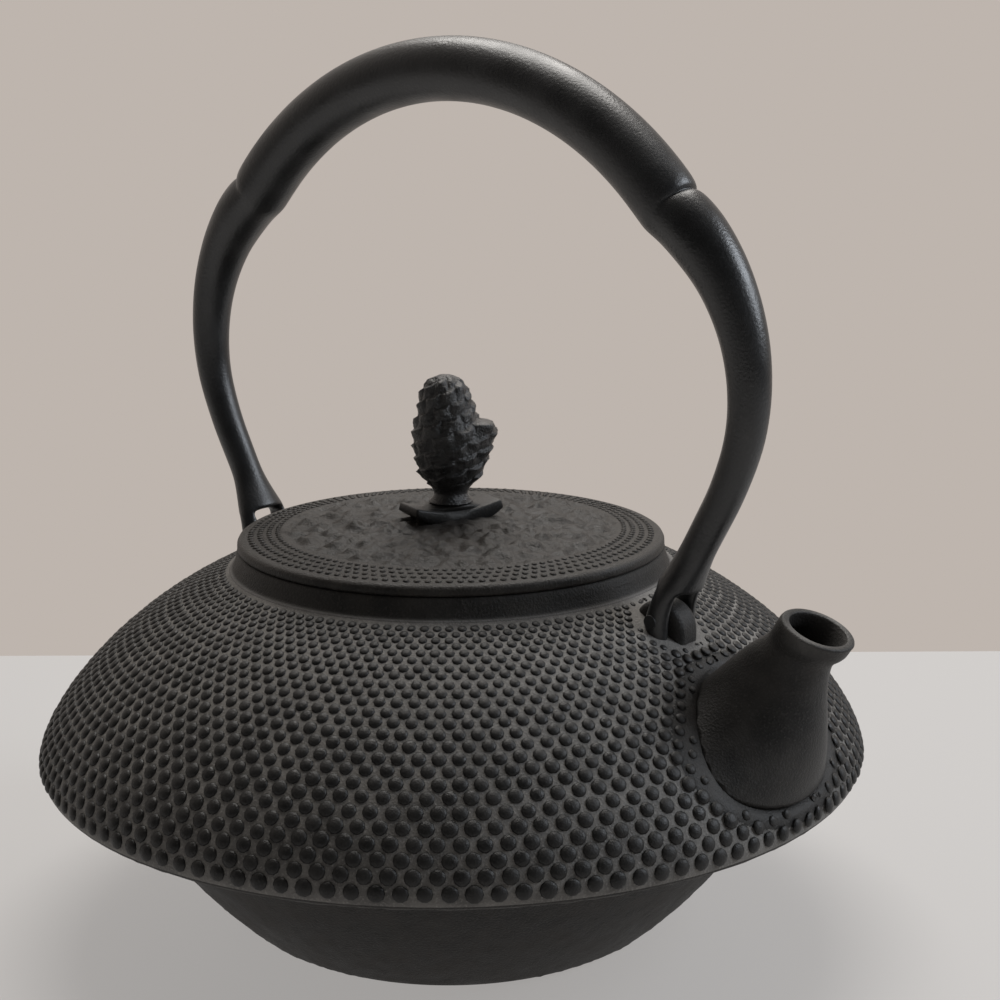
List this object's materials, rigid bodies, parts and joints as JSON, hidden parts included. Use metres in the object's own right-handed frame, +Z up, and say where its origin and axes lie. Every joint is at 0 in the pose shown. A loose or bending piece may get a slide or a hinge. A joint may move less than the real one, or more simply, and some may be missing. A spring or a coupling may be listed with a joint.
{
  "type": "cast iron teapot",
  "caption": "Wide low cast iron pot with a nubbed domed shoulder, sharp brim, short spout, fixed arched handle, flat lid with a pine-cone knob and a lift-out strainer.",
  "frame": {"origin": "centre of the flat foot, on the surface the pot stands on", "axes": "+Z up, +X towards the spout; the handle stands in the XZ plane; +Y is to the left of someone looking towards the spout"},
  "size_m": [0.2113, 0.2026, 0.2139],
  "materials": {
    "body_iron": "matte charcoal-black cast skin with raised nubs",
    "handle_iron": "smooth semi-gloss black lacquered cast skin",
    "lid_iron": "matte charcoal-black, hammered middle and nubbed edge",
    "knob_iron": "near-black, satin on the tips of the scales",
    "pin_steel": "blackened steel",
    "strainer_steel": "bright perforated stainless sheet"
  },
  "bodies": {
    "pot": {"kettle_body": "body_iron", "spout": "body_iron", "lug_front": "body_iron", "lug_rear": "body_iron", "handle": "handle_iron", "handle_pin_front": "pin_steel", "handle_pin_rear": "pin_steel"},
    "lid": {"lid": "lid_iron", "knob_seat": "knob_iron"},
    "knob": {"knob": "knob_iron", "knob_washer": "pin_steel"},
    "strainer": {"strainer_rim": "strainer_steel", "strainer_wall": "strainer_steel", "strainer_floor": "strainer_steel"}
  },
  "joints": [
    {"name": "lid_lift", "type": "slide", "parent": "pot", "child": "lid", "axis": [0, 0, 1], "range_m": [0, 0.062]},
    {"name": "knob_turn", "type": "hinge", "parent": "lid", "child": "knob", "pos_m": [0, 0, 0.1], "axis": [0, 0, 1], "continuous": true},
    {"name": "strainer_lift", "type": "slide", "parent": "pot", "child": "strainer", "axis": [0, 0, 1], "range_m": [0, 0.0527]}
  ],
  "couplings": [
    {"joint": "strainer_lift", "follows": "lid_lift", "ratio": 0.85}
  ]
}
